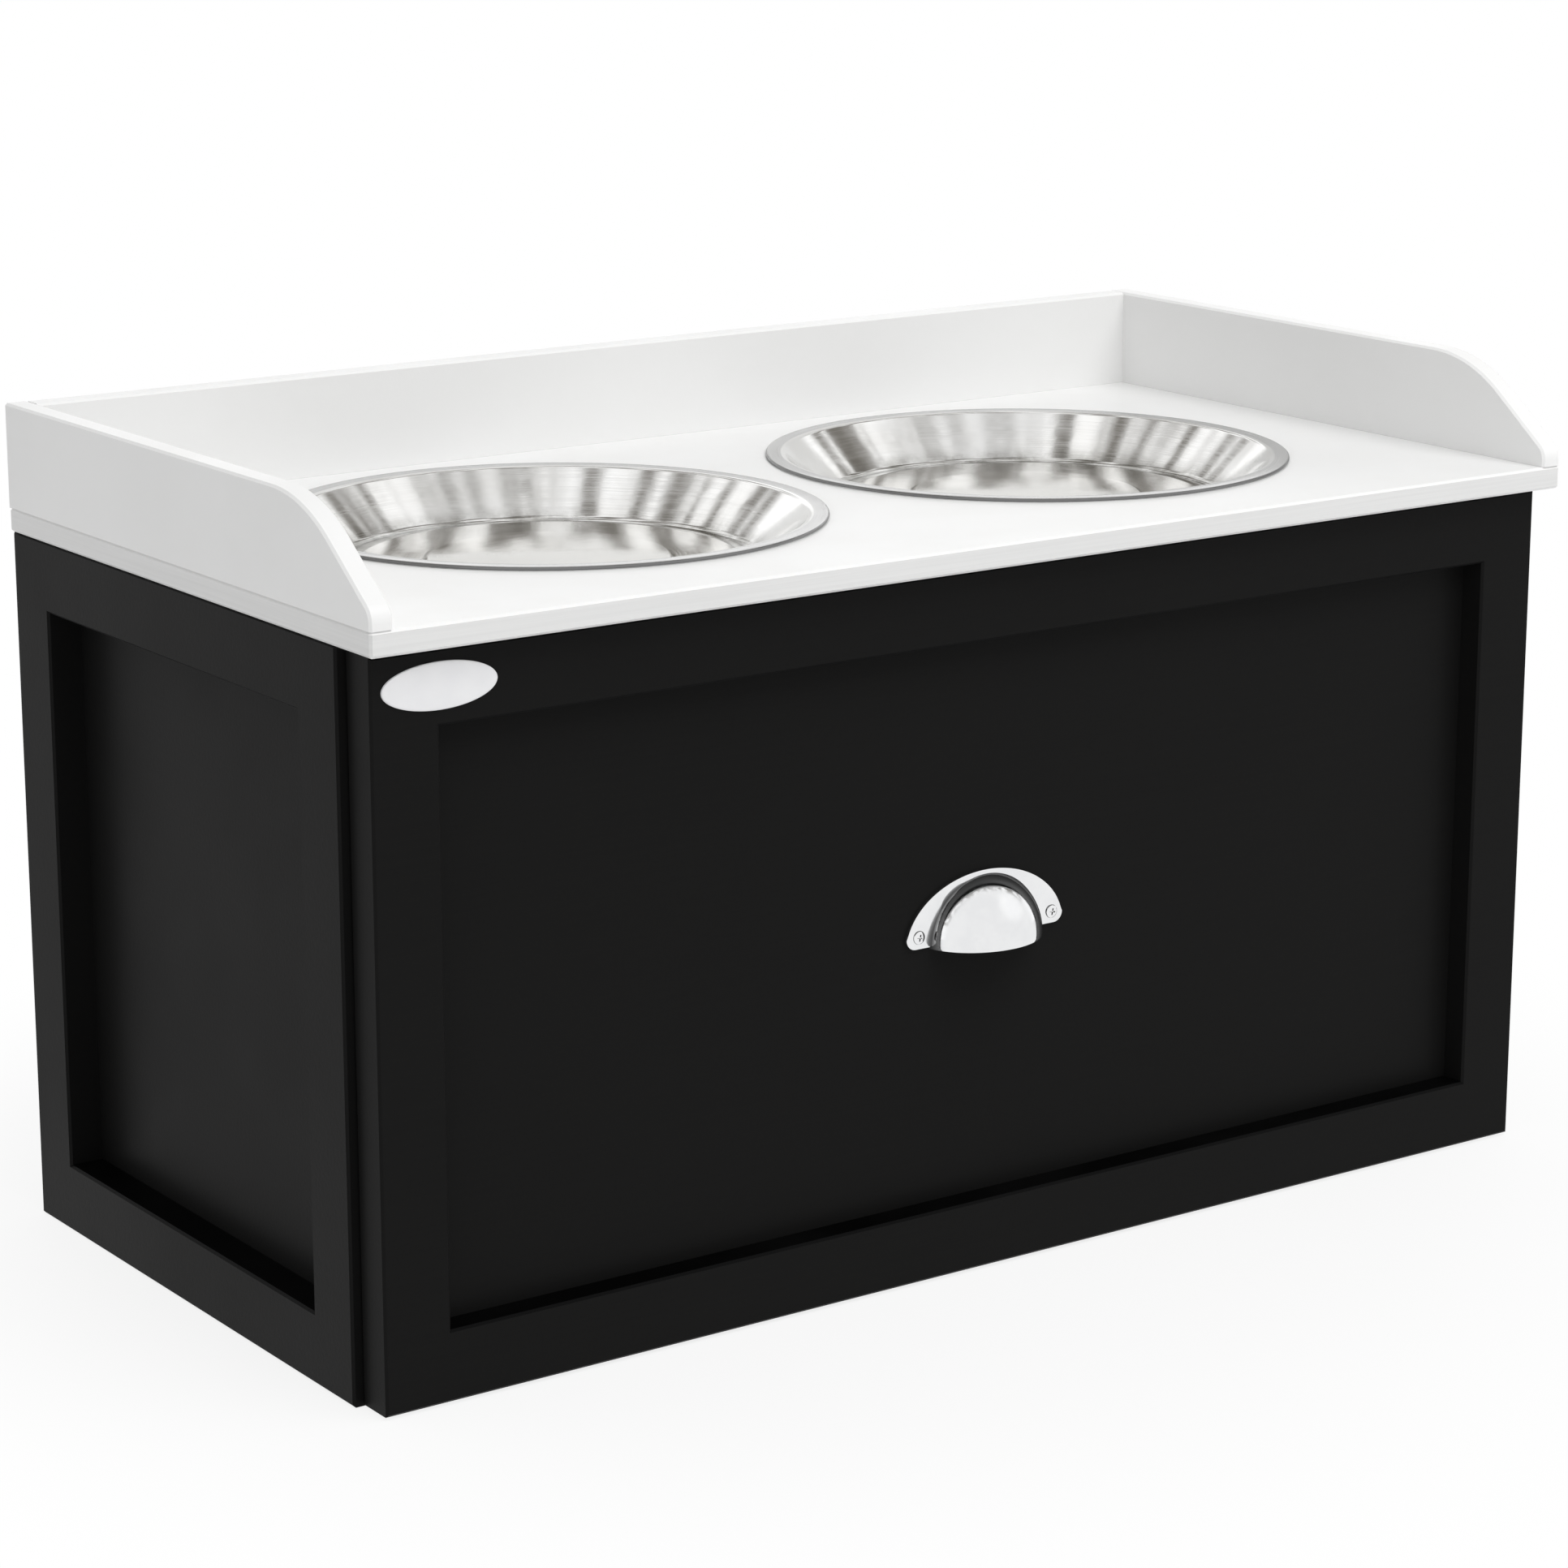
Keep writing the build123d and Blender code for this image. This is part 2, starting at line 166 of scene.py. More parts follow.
def mirrored_room(tree, direction):
    """The room's colour in a direction, and how strongly it glows there."""
    parts = split(tree, direction)
    above = mapped(tree, parts["Z"], (0.30, 0.45))
    behind = mapped(tree, parts["Y"], (-0.28, -0.02))
    drawn_up = noise(tree, stretched(tree, direction, UPRIGHT_STRETCH), scale=10.0, detail=3.0)
    uprights = mapped(tree, drawn_up, (0.40, 0.60), (1.0, 0.0))
    band = math_node(tree, "MULTIPLY", math_node(tree, "MULTIPLY", above, behind), uprights)
    colour = blend_colours(tree, band, WHITE, UPRIGHT_COLOUR)
    towards_patch = add_node(tree, "ShaderNodeVectorMath", operation="DOT_PRODUCT")
    towards_patch.inputs[1].default_value = PATCH_DIRECTION
    tree.links.new(direction, towards_patch.inputs[0])
    patch = mapped(tree, towards_patch.outputs["Value"], (0.90, 1.0), (1.0, PATCH_GLOW))
    back = mapped(tree, parts["Y"], (-0.28, 0.10), (1.0, BACK_GLOW))
    return colour, math_node(tree, "MAXIMUM", patch, back)


# %% The white room
EVEN_LIGHT = 0.60


def background(tree, colour, strength):
    node = add_node(tree, "ShaderNodeBackground")
    feed_colour(tree, node.inputs["Color"], colour)
    feed(tree, node.inputs["Strength"], strength)
    return node.outputs[0]


def make_room():
    """Even light for matt surfaces, the mirrored room for metal, plain white for the camera."""
    world = bpy.data.worlds.new("white_room")
    bpy.context.scene.world = world
    world.use_nodes = True
    tree = world.node_tree
    tree.nodes.clear()
    direction = add_node(tree, "ShaderNodeTexCoord").outputs["Generated"]
    even = background(tree, WHITE, EVEN_LIGHT)
    painted_reflection_colour = background(tree, *mirrored_room(tree, direction))
    seen = background(tree, WHITE, 1.0)
    ray = add_node(tree, "ShaderNodeLightPath").outputs
    straight = math_node(tree, "MAXIMUM", ray["Is Camera Ray"], ray["Is Transmission Ray"])
    room = mix_shaders(tree, ray["Is Glossy Ray"], even, painted_reflection_colour)
    room = mix_shaders(tree, straight, room, seen)
    tree.links.new(room, add_node(tree, "ShaderNodeOutputWorld").inputs["Surface"])
    return world


print("world:", make_room().name)

# %% The soft box over the front
SOFT_BOX_PLACE = Vector((0.35, -1.25, 2.15))
SOFT_BOX_TARGET = Vector((0.0, 0.0, 0.3))
SOFT_BOX_SIZE = (2.0, 1.6)
SOFT_BOX_WATTS = 32.0


def add_soft_box():
    bpy.ops.object.light_add(type="AREA", location=SOFT_BOX_PLACE)
    lamp = bpy.context.object
    lamp.name = "soft_box"
    lamp.data.shape = "RECTANGLE"
    lamp.data.size, lamp.data.size_y = SOFT_BOX_SIZE
    lamp.data.energy = SOFT_BOX_WATTS
    lamp.visible_glossy = False
    aim = SOFT_BOX_TARGET - SOFT_BOX_PLACE
    lamp.rotation_euler = aim.to_track_quat("-Z", "Y").to_euler()
    return lamp


soft_box = add_soft_box()
print("lamp:", soft_box.name, soft_box.data.energy, "W")

# %% The camera
LENS = 101.0
FILM_WIDTH = 36.0
LOOKS_DOWN = 0.2491
TURNS_RIGHT = 0.6129

camera_data = bpy.data.cameras.new("camera")
camera = bpy.data.objects.new("camera", camera_data)
bpy.context.scene.collection.objects.link(camera)
camera.location = (-1.0748, -1.5130, 0.6515)
camera.rotation_euler = (pi / 2 - LOOKS_DOWN, 0.0, -TURNS_RIGHT)
camera_data.lens = LENS
camera_data.sensor_width = FILM_WIDTH
bpy.context.scene.camera = camera
bpy.context.scene.view_settings.view_transform = "Standard"
print("camera at", tuple(camera.location), "lens", camera_data.lens, "mm")

# %% [markdown]
# ## Modelling helpers
#
# Every new piece is shaped in edit mode, where an operator acts on all that is selected. So
# each helper first clears the selection, and then picks vertices or edges by their place. A
# turned piece and a flat outline both start as a line that is drawn point by point: a plane is
# merged to one vertex, and the vertex is extruded along.

# %% Going in and out of edit mode
def only(piece):
    bpy.ops.object.select_all(action="DESELECT")
    piece.select_set(True)
    bpy.context.view_layer.objects.active = piece


def edit(piece):
    """Edit mode, with all of the piece selected."""
    only(piece)
    bpy.ops.object.mode_set(mode="EDIT")
    bpy.ops.mesh.select_all(action="SELECT")


def done():
    bpy.ops.object.mode_set(mode="OBJECT")


def pick(piece, kind, test):
    """Selects the vertices or edges whose middle passes the test, and counts them."""
    bpy.ops.mesh.select_mode(type=kind)
    bpy.ops.mesh.select_all(action="DESELECT")
    mesh = bmesh.from_edit_mesh(piece.data)
    count = 0
    for item in mesh.verts if kind == "VERT" else mesh.edges:
        corners = [item] if kind == "VERT" else item.verts
        middle = sum((corner.co for corner in corners), Vector()) / len(corners)
        if test(middle):
            item.select_set(True)
            count += 1
    mesh.select_flush_mode()
    bmesh.update_edit_mesh(piece.data)
    return count


# %% Drawing a line of vertices
def draw_line(name, points):
    """A new piece that is one chain of vertices, left in edit mode with all of it selected."""
    bpy.ops.object.select_all(action="DESELECT")
    bpy.ops.mesh.primitive_plane_add(size=MM, location=(0, 0, 0))
    piece = bpy.context.object
    piece.name = name
    bpy.ops.object.mode_set(mode="EDIT")
    bpy.ops.mesh.select_mode(type="VERT")
    bpy.ops.mesh.select_all(action="SELECT")
    bpy.ops.mesh.merge(type="CENTER")
    bpy.ops.transform.translate(value=points[0])
    for start, end in zip(points, points[1:]):
        step = Vector(end) - Vector(start)
        bpy.ops.mesh.extrude_vertices_move(TRANSFORM_OT_translate={"value": step})
    bpy.ops.mesh.select_all(action="SELECT")
    return piece


def spin(steps, axis):
    """A full turn of the selected line about an axis through the origin."""
    bpy.ops.mesh.spin(steps=steps, angle=2 * pi, center=(0, 0, 0), axis=axis)


def face_outwards():
    bpy.ops.mesh.select_all(action="SELECT")
    bpy.ops.mesh.normals_make_consistent(inside=False)


def close_seam(distance=0.01 * MM):
    bpy.ops.mesh.select_all(action="SELECT")
    bpy.ops.mesh.remove_doubles(threshold=distance)
    face_outwards()


# %% Finishing a piece
def apply(piece, kind, **settings):
    """Adds a modifier with its settings and applies it."""
    only(piece)
    modifier = piece.modifiers.new(kind.lower(), kind)
    for name, value in settings.items():
        setattr(modifier, name, value)
    bpy.ops.object.modifier_apply(modifier=modifier.name)


def smooth(piece, angle):
    only(piece)
    bpy.ops.object.shade_smooth_by_angle(angle=radians(angle))


def settle(piece):
    """Puts the piece's place into its mesh, so that its object sits at the origin."""
    only(piece)
    bpy.ops.object.transform_apply(location=True, rotation=True, scale=True)


def copy_of(piece, name, place, turn=0.0, size=1.0):
    """A copy with its own mesh, turned about Z by degrees, scaled and put in its place."""
    only(piece)
    bpy.ops.object.duplicate(linked=False)
    twin = bpy.context.object
    twin.name = name
    twin.location = place
    twin.rotation_euler = (0, 0, radians(turn))
    twin.scale = (size, size, size)
    settle(twin)
    return twin


def triangles(piece):
    return sum(len(face.vertices) - 2 for face in piece.data.polygons)


# %% [markdown]
# ## The steel bowls
#
# A feeder bowl is pressed from one round of stainless sheet: a flat rim that hangs on the
# board, a wall that leans inwards, a wide cove and a floor with a raised ledge and boss that
# stiffen it. The whole form is round, so its section is drawn once and spun about the bowl's
# own axis. The bends are cut into the spun surface with the bevel tool, each with its own
# radius, and the sheet gets its thickness last, on the outside, so that the inner form stays
# as it was drawn.

# %% The bowl's section, from the rim to the middle of the floor
BOARD_TOP = 311 * MM
BOWL_ASIDE = 125.5 * MM
BOWL_BEHIND = 6 * MM
BOWL_SHEET = 0.8 * MM

# Radius, height over the board and radius of the bend at that corner, in millimetres.
BOWL_SECTION = [
    (114.6, 0.3, 0.0), (116.2, 0.3, 0.5), (116.2, 1.7, 0.9), (108.0, 1.5, 2.6),
    (88.4, -18.9, 6.0), (81.0, -18.9, 1.6), (79.4, -17.6, 1.6),
    (52.2, -17.6, 2.4), (50.2, -16.2, 2.4), (0.0, -16.2, 0.0),
]
BEND_STEP = 2.2
FEWEST_STEPS = 3


def bend_ring(piece, corner):
    """Rounds the ring of edges at one corner of the spun section."""
    before, here, after = [Vector(BOWL_SECTION[corner + step][:2]) for step in (-1, 0, 1)]
    turn = (here - before).angle(after - here)
    bend = BOWL_SECTION[corner][2]

    def on_ring(middle):
        away = sqrt(middle.x**2 + middle.y**2)
        return abs(away - here.x * MM) < 0.25 * MM and abs(middle.z - here.y * MM) < 0.05 * MM

    count = pick(piece, "EDGE", on_ring)
    steps = max(FEWEST_STEPS, round(turn * bend / BEND_STEP))
    bpy.ops.mesh.bevel(offset=bend * MM * tan(turn / 2), offset_type="OFFSET", segments=steps,
                       affect="EDGES", clamp_overlap=True)
    return count


# %% Spin it, bend it and give it the sheet's thickness
def make_bowl(name):
    bowl = draw_line(name, [(radius * MM, 0.0, height * MM) for radius, height, _ in BOWL_SECTION])
    spin(144, (0, 0, 1))
    close_seam()
    rings = [bend_ring(bowl, corner) for corner in range(1, len(BOWL_SECTION) - 1)]
    face_outwards()
    done()
    # An open shell has no inside, so its faces may all point down. They should point up.
    if bowl.data.polygons[0].normal.z < 0 and bowl.data.polygons[-1].normal.z < 0:
        bowl.data.flip_normals()
    apply(bowl, "SOLIDIFY", thickness=BOWL_SHEET, offset=-1.0, use_even_offset=True)
    smooth(bowl, 40)
    print(name, "ring edges:", rings, "triangles:", triangles(bowl))
    return bowl


left_bowl = make_bowl("left_steel_bowl")
right_bowl = copy_of(left_bowl, "right_steel_bowl", (BOWL_ASIDE, BOWL_BEHIND, BOARD_TOP))
left_bowl.location = (-BOWL_ASIDE, BOWL_BEHIND, BOARD_TOP)
settle(left_bowl)

# %% [markdown]
# ## The cup pull
#
# The pull is a thin casting, plated with chrome: a half dome that the fingers reach under, on
# a crescent flange with an ear and a screw on each side. The flange is an outline that is
# drawn, filled, thickened and softened along its edges. The dome starts as a ball whose middle
# lies behind the panel. It is pressed a little flat and cut twice, which gives the true oval
# that the light runs over. A cube with subdivision could give a dome too, but its rim would
# not stay level.

# %% The flange's outline
PANEL_FACE = -128 * MM
PULL_BASE = 141.3 * MM
FLANGE_THICK = 1.8 * MM
FLANGE_FACE = PANEL_FACE - FLANGE_THICK
FLANGE_EDGE = 0.5 * MM

# Across and up from the middle of the pull's base, in millimetres.
EAR_MIDDLE = (36.0, 4.6)
EAR_RADII = (4.6, 4.6)
CRESCENT_RADII = (40.8, 28.8)
CRESCENT_FROM = 6.5
OPENING_RADII = (26.4, 25.6)
OPENING_FROM = 3.0
NOTCH_MIDDLE = (29.2, 2.5)
NOTCH_RADII = (2.5, 2.5)


def arc(centre, radii, start, end, steps):
    """Points along an oval's arc, angles in degrees from +X towards +Z."""
    angles = [radians(start + (end - start) * step / steps) for step in range(steps + 1)]
    return [(centre[0] + radii[0] * cos(a), centre[1] + radii[1] * sin(a)) for a in angles]


def other_half(points):
    return [(-x, z) for x, z in reversed(points)]


def flange_outline():
    """Over the ears and the crescent from right to left, and back along the dome's opening."""
    ear = arc(EAR_MIDDLE, EAR_RADII, -90, 0, 8)
    crescent = arc((0, 0), CRESCENT_RADII, 0, 90, 40)
    outer = ear + [point for point in crescent if point[1] > CRESCENT_FROM]
    opening = arc((0, 0), OPENING_RADII, 90, 0, 32)
    notch = arc(NOTCH_MIDDLE, NOTCH_RADII, 180, 270, 5)
    inner = [point for point in opening if point[1] > OPENING_FROM] + notch
    return outer + other_half(outer[:-1]) + other_half(inner) + inner[1:]


# %% The flange
def make_flange():
    outline = [(x * MM, PANEL_FACE, PULL_BASE + z * MM) for x, z in flange_outline()]
    flange = draw_line("flange", outline)
    bpy.ops.mesh.edge_face_add()
    bpy.ops.mesh.extrude_region_move(TRANSFORM_OT_translate={"value": (0, -FLANGE_THICK, 0)})
    face_outwards()
    pick(flange, "EDGE", lambda middle: abs(middle.y - FLANGE_FACE) < 0.01 * MM)
    bpy.ops.mesh.bevel(offset=FLANGE_EDGE, segments=3, affect="EDGES", clamp_overlap=True)
    done()
    return flange


flange = make_flange()
print("flange triangles:", triangles(flange))

# %% The dome, and the two joined
DOME_RADII = (28.7 * MM, 24.5 * MM, 27.8 * MM)
DOME_SET_BACK = 4.0 * MM
DOME_WALL = 1.5 * MM
DOME_EDGE = 0.45 * MM
SKIRT = 1.0 * MM


def make_dome():
    bpy.ops.object.select_all(action="DESELECT")
    bpy.ops.mesh.primitive_uv_sphere_add(
        segments=128, ring_count=64, radius=1.0,
        location=(0, PANEL_FACE + DOME_SET_BACK, PULL_BASE), scale=DOME_RADII)
    dome = bpy.context.object
    dome.name = "dome"
    settle(dome)
    edit(dome)
    bpy.ops.mesh.bisect(plane_co=(0, PANEL_FACE, 0), plane_no=(0, 1, 0), clear_outer=True)
    bpy.ops.mesh.select_all(action="SELECT")
    bpy.ops.mesh.bisect(plane_co=(0, 0, PULL_BASE - SKIRT), plane_no=(0, 0, 1), clear_inner=True)
    close_seam()
    done()
    apply(dome, "SOLIDIFY", thickness=DOME_WALL, offset=-1.0, use_even_offset=True)
    apply(dome, "BEVEL", width=DOME_EDGE, segments=3, limit_method="ANGLE", angle_limit=radians(50))
    return dome


cup_pull = make_dome()
only(cup_pull)
flange.select_set(True)
bpy.ops.object.join()
cup_pull.name = "chrome_cup_pull"
smooth(cup_pull, 38)
print("pull triangles:", triangles(cup_pull))

# %% [markdown]
# ## Screws
#
# The pull is held by two small pan-head screws with a cross recess. The head is turned from
# its section, and the cross is two thin tapered blades taken out of it. A taller head of the
# same kind holds the drawer front and the slides, so the two are modelled once and copied.

# %% One pan head with a cross recess
HEAD_SUNK_BY = 0.6
BLADE_TURN = 12
BLADE_TAPER = 0.62


def make_blade(radius, height, turn):
    """One bar of the cross, narrower towards its bottom."""
    bpy.ops.object.select_all(action="DESELECT")
    bpy.ops.mesh.primitive_cube_add(size=1.0, location=(0, -height * MM, 0))
    blade = bpy.context.object
    blade.scale = (1.25 * radius * MM, 1.3 * height * MM, 0.26 * radius * MM)
    blade.rotation_euler = (0, radians(turn + BLADE_TURN), 0)
    settle(blade)
    edit(blade)
    pick(blade, "VERT", lambda middle: middle.y > -height * MM)
    bpy.ops.transform.resize(value=(BLADE_TAPER, 1.0, BLADE_TAPER), center_override=(0, 0, 0))
    done()
    return blade


def make_screw_head(name, radius, height):
    """A head about Y that faces the front and starts just behind its seat, in millimetres."""
    section = [(0.0, HEAD_SUNK_BY), (radius, HEAD_SUNK_BY), (radius, -0.25 * height),
               (0.86 * radius, -0.72 * height), (0.55 * radius, -0.95 * height), (0.0, -height)]
    head = draw_line(name, [(x * MM, y * MM, 0.0) for x, y in section])
    spin(40, (0, 1, 0))
    close_seam(0.005 * MM)
    done()
    apply(head, "BEVEL", width=0.12 * radius * MM, segments=3, limit_method="ANGLE",
          angle_limit=radians(15))
    for turn in (0, 90):
        blade = make_blade(radius, height, turn)
        apply(head, "BOOLEAN", object=blade, operation="DIFFERENCE", solver="EXACT")
        bpy.data.objects.remove(blade)
    smooth(head, 30)
    return head


screw_pattern = make_screw_head("screw_pattern", 3.0, 1.6)
flat_pattern = make_screw_head("flat_pattern", 2.9, 0.9)
print("screw head triangles:", triangles(screw_pattern), triangles(flat_pattern))

# %% The pull's two screws
PULL_SCREW_ASIDE = 34.5 * MM
PULL_SCREW_HEIGHT = 146.5 * MM
SIDES = (("left", -1), ("right", 1))

pull_screws = [
    copy_of(flat_pattern, f"{side}_pull_screw",
            (sign * PULL_SCREW_ASIDE, FLANGE_FACE, PULL_SCREW_HEIGHT))
    for side, sign in SIDES
]
bpy.data.objects.remove(flat_pattern)
print([screw.name for screw in pull_screws])

# %% The screws behind the drawer front and along the slides
FRONT_SCREW_PLACES = [(x * MM, -111 * MM, z * MM) for x in (-190, 190) for z in (70, 205)]
FRONT_SCREW_SIZE = 1.25
SLIDE_SCREW_ASIDE = 267.5 * MM
SLIDE_SCREW_HEIGHT = 26.5 * MM
SLIDE_SCREW_ROWS = (-70 * MM, 10 * MM, 90 * MM)

front_screws = [
    copy_of(screw_pattern, f"front_screw_{number}", place, 180, FRONT_SCREW_SIZE)
    for number, place in enumerate(FRONT_SCREW_PLACES, 1)
]
slide_screws = [
    copy_of(screw_pattern, f"{side}_slide_screw_{number}",
            (sign * SLIDE_SCREW_ASIDE, row, SLIDE_SCREW_HEIGHT), 90 * sign)
    for side, sign in SIDES for number, row in enumerate(SLIDE_SCREW_ROWS, 1)
]
bpy.data.objects.remove(screw_pattern)
print("screws:", len(pull_screws) + len(front_screws) + len(slide_screws))

# %% [markdown]
# ## The oval plate
#
# A small enamelled oval sits near the left end of the drawer's top rail. It is a thin blank
# with a softened edge and a slightly crowned face, so it catches the light like a drop of
# enamel. It carries nothing.

# %% The blank
PLATE_MIDDLE = (-265.5 * MM, -140 * MM, 285.1 * MM)
PLATE_RADII = (25.0 * MM, 9.2 * MM)
PLATE_THICK = 0.7 * MM
# How far in each step of the crown goes, and how far it rises.
PLATE_CROWN = ((0.15 * MM, 0.12 * MM), (0.25 * MM, 0.12 * MM), (0.5 * MM, 0.08 * MM),
               (0.9 * MM, 0.06 * MM))


def make_plate():
    bpy.ops.object.select_all(action="DESELECT")
    bpy.ops.mesh.primitive_circle_add(vertices=128, radius=1.0, fill_type="NGON",
                                      location=PLATE_MIDDLE)
    plate = bpy.context.object
    plate.name = "oval_plate"
    plate.rotation_euler = (pi / 2, 0, 0)
    plate.scale = (*PLATE_RADII, 1.0)
    settle(plate)
    edit(plate)
    bpy.ops.mesh.select_mode(type="FACE")
    bpy.ops.mesh.extrude_region_move(TRANSFORM_OT_translate={"value": (0, -PLATE_THICK, 0)})
    for width, rise in PLATE_CROWN:
        bpy.ops.mesh.inset(thickness=width, depth=rise)
    face_outwards()
    done()
    smooth(plate, 60)
    return plate


oval_plate = make_plate()
print("plate triangles:", triangles(oval_plate))

# %% [markdown]
# ## Effects that several finishes share
#
# Sprayed lacquer is never quite flat: it has a fine orange peel, and its sheen drifts a little
# over a large board. Fibreboard that is cut and then lacquered shows faint lines along its
# edges, where the fibres drink the paint. Faces that look up take a tone of their own: on the
# black it is a painted shade, which makes the narrow tops of the frames the deepest black of
# all. Dust lies on whatever faces up. Each is a node group, so that every finish can use it
# with its own values.

# %% A helper for node groups
FLOAT = "NodeSocketFloat"
VECTOR = "NodeSocketVector"


def new_group(name, inputs, outputs):
    """An empty group, its input and output nodes. An input that has a default gives it last."""
    tree = bpy.data.node_groups.new(name, "ShaderNodeTree")
    for label, kind, *default in inputs:
        socket = tree.interface.new_socket(name=label, in_out="INPUT", socket_type=kind)
        if default:
            socket.default_value = default[0]
    for label in outputs:
        tree.interface.new_socket(name=label, in_out="OUTPUT", socket_type=FLOAT)
    return tree, add_node(tree, "NodeGroupInput").outputs, add_node(tree, "NodeGroupOutput").inputs


# %% Orange peel and drifting sheen
def make_peel_group():
    tree, given, result = new_group(
        "orange_peel", [("Vector", VECTOR), ("Peel Scale", FLOAT, 700.0)], ["Height", "Drift"])
    peel = noise(tree, given["Vector"], scale=given["Peel Scale"], roughness=0.45)
    drift = noise(tree, given["Vector"], scale=9.0, detail=3.0, roughness=0.55)
    tree.links.new(peel, result["Height"])
    tree.links.new(mapped(tree, drift, (0.3, 0.7)), result["Drift"])
    return tree


orange_peel = make_peel_group()
print("group:", orange_peel.name)

# %% Fibre lines on cut edges
FIBRE_STRETCH = (9.0, 9.0, 900.0)


def make_fibre_group():
    """Lines along X and Y that change quickly with height, a mask of the faces that stand
    upright below a height, and a mask of what faces up."""
    tree, given, result = new_group(
        "cut_fibre", [("Vector", VECTOR), ("Normal", VECTOR), ("Below", FLOAT, 1.0)],
        ["Lines", "Upright", "Ledge"])
    place = stretched(tree, given["Vector"], FIBRE_STRETCH)
    lines = noise(tree, place, scale=1.0, detail=3.0, roughness=0.6)
    facing = split(tree, given["Normal"])["Z"]
    upright = mapped(tree, math_node(tree, "ABSOLUTE", facing), (0.2, 0.6), (1.0, 0.0))
    low = math_node(tree, "LESS_THAN", split(tree, given["Vector"])["Z"], given["Below"])
    tree.links.new(lines, result["Lines"])
    tree.links.new(math_node(tree, "MULTIPLY", upright, low), result["Upright"])
    tree.links.new(mapped(tree, facing, (0.4, 0.9)), result["Ledge"])
    return tree


cut_fibre = make_fibre_group()
print("group:", cut_fibre.name)

# %% Dust on what faces up
def make_dust_group():
    tree, given, result = new_group("dust", [("Vector", VECTOR), ("Normal", VECTOR)], ["Mask"])
    facing = mapped(tree, split(tree, given["Normal"])["Z"], (0.3, 0.95), (0.12, 1.0))
    specks = noise(tree, given["Vector"], scale=1300.0, detail=1.0)
    film = noise(tree, given["Vector"], scale=22.0, detail=4.0, roughness=0.6)
    both = math_node(tree, "MAXIMUM", mapped(tree, specks, (0.72, 0.80)),
                     mapped(tree, film, (0.35, 0.75), (0.0, 0.35)))
    tree.links.new(math_node(tree, "MULTIPLY", both, facing), result["Mask"])
    return tree


dust = make_dust_group()
print("group:", dust.name)

# %% [markdown]
# ## The finishes
#
# A finish starts as one shader whose plain numbers are set on its own sockets. Only what
# changes over the surface, such as a tint, the sheen's drift or a bump, is linked to it.

# %% Starting a finish
def new_finish(name, **numbers):
    """A material, its tree, its shader's inputs and the coordinates that patterns read."""
    material = bpy.data.materials.new(name)
    material.use_nodes = True
    tree = material.node_tree
    tree.nodes.clear()
    shader = add_node(tree, "ShaderNodeBsdfPrincipled")
    out = add_node(tree, "ShaderNodeOutputMaterial")
    tree.links.new(shader.outputs[0], out.inputs["Surface"])
    for label, value in numbers.items():
        shader.inputs[label.replace("_", " ")].default_value = value
    return material, tree, shader, add_node(tree, "ShaderNodeTexCoord").outputs


def use_group(tree, group, places, **numbers):
    """A group that reads the place, and the normal where it asks for one."""
    node = add_node(tree, "ShaderNodeGroup", node_tree=group)
    tree.links.new(places["Object"], node.inputs["Vector"])
    if "Normal" in node.inputs:
        tree.links.new(places["Normal"], node.inputs["Normal"])
    for label, value in numbers.items():
        node.inputs[label.replace("_", " ")].default_value = value
    return node.outputs


def bump(tree, shader, height, distance):
    node = add_node(tree, "ShaderNodeBump")
    node.inputs["Distance"].default_value = distance
    node.inputs["Strength"].default_value = 1.0
    tree.links.new(height, node.inputs["Height"])
    tree.links.new(node.outputs[0], shader.inputs["Normal"])


# %% Lacquer on fibreboard
def make_lacquer(name, light, dark, edge, painted_ledge_shade, dust_colour, edges_below, sheen, peel_depth,
                 **numbers):
    """A drifting tint, other colours on cut edges and under dust, and painted shade on ledges."""
    material, tree, shader, places = new_finish(name, **numbers)
    peel = use_group(tree, orange_peel, places, Peel_Scale=620.0)
    fibre = use_group(tree, cut_fibre, places, Below=edges_below)
    grey = use_group(tree, dust, places)["Mask"]
    lines = math_node(tree, "MULTIPLY", mapped(tree, fibre["Lines"], (0.2, 0.8), (0.65, 1.0)),
                      fibre["Upright"])
    body = blend_colours(tree, peel["Drift"], light, dark)
    body = blend_colours(tree, lines, body, edge)
    # Faces that look up take the ledge tone, which on the black is a painted shade.
    body = blend_colours(tree, fibre["Ledge"], body, painted_ledge_shade)
    body = blend_colours(tree, grey, body, dust_colour)
    tree.links.new(body, shader.inputs["Base Color"])
    rough = math_node(tree, "ADD", mapped(tree, peel["Drift"], (0.0, 1.0), sheen),
                      math_node(tree, "MULTIPLY", grey, 0.15))
    tree.links.new(rough, shader.inputs["Roughness"])
    height = math_node(tree, "ADD", math_node(tree, "MULTIPLY", lines, 0.5), peel["Height"])
    bump(tree, shader, height, peel_depth)
    return material


# %% The white top and the black cabinet
white_lacquer = make_lacquer(
    "white_lacquer",
    light=(0.872, 0.872, 0.868),
    dark=(0.850, 0.850, 0.844),
    edge=(0.725, 0.725, 0.720),
    painted_ledge_shade=(0.862, 0.862, 0.858),
    dust_colour=(0.83, 0.825, 0.81),
    edges_below=BOARD_TOP + 0.2 * MM,
    sheen=(0.30, 0.40),
    peel_depth=0.03 * MM)
black_lacquer = make_lacquer(
    "black_lacquer",
    light=(0.0070, 0.0070, 0.0071),
    dark=(0.0082, 0.0082, 0.0082),
    edge=(0.0092, 0.0091, 0.0089),
    # Painted shade on the frames' ledges and on every black face that looks up.
    painted_ledge_shade=(0.0012, 0.0012, 0.0012),
    dust_colour=(0.006, 0.006, 0.006),
    edges_below=1.0,
    sheen=(0.36, 0.42),
    peel_depth=0.04 * MM,
    Specular_IOR_Level=0.036)
